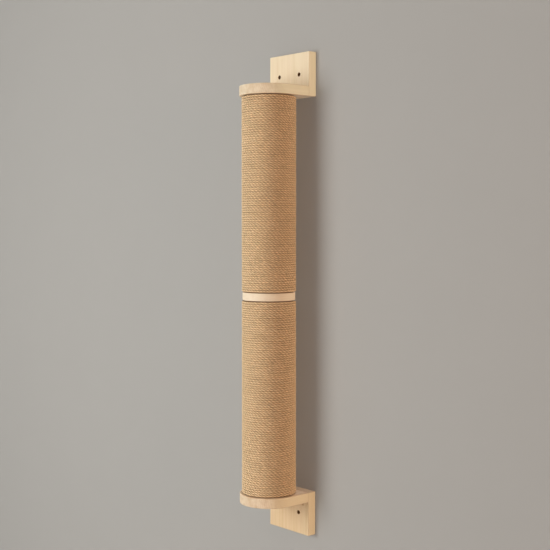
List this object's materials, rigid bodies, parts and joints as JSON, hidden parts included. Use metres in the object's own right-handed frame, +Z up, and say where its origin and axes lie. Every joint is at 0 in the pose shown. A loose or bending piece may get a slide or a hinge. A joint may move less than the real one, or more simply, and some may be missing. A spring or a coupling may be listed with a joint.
{
  "type": "wall-mounted cat scratching post",
  "caption": "Upright rope-wound scratching post with a wooden ring at mid-height, held off the wall between two wooden brackets with rounded shelves.",
  "frame": {"origin": "midway between the two screw holes of the lower wall plate, on the wall plane", "axes": "+X to the right for someone facing the wall, +Y into the wall, +Z up along the post"},
  "size_m": [0.12, 0.1344, 0.992],
  "materials": {
    "pine_board": "smooth, clear matt varnish",
    "ring_wood": "turned and sanded",
    "plug_wood": "sawn",
    "jute_rope": "twisted natural fibre",
    "tube_card": "spiral-wound paper",
    "zinc_steel": "zinc plated"
  },
  "bodies": {
    "root": {"upper_wall_plate": "pine_board", "upper_shelf": "pine_board", "upper_bracket_screw_left": "zinc_steel", "upper_bracket_screw_right": "zinc_steel", "upper_core_tube": "tube_card", "upper_rope": "jute_rope", "upper_post_top_plug": "plug_wood", "upper_post_top_insert": "zinc_steel", "upper_post_bottom_plug": "plug_wood", "upper_post_bottom_insert": "zinc_steel", "lower_wall_plate": "pine_board", "lower_shelf": "pine_board", "lower_bracket_screw_left": "zinc_steel", "lower_bracket_screw_right": "zinc_steel", "lower_core_tube": "tube_card", "lower_rope": "jute_rope", "lower_post_top_plug": "plug_wood", "lower_post_top_insert": "zinc_steel", "lower_post_bottom_plug": "plug_wood", "lower_post_bottom_insert": "zinc_steel", "middle_ring": "ring_wood", "joining_stud": "zinc_steel", "top_bolt": "zinc_steel", "bottom_bolt": "zinc_steel", "top_washer": "zinc_steel", "bottom_washer": "zinc_steel"}
  },
  "joints": []
}
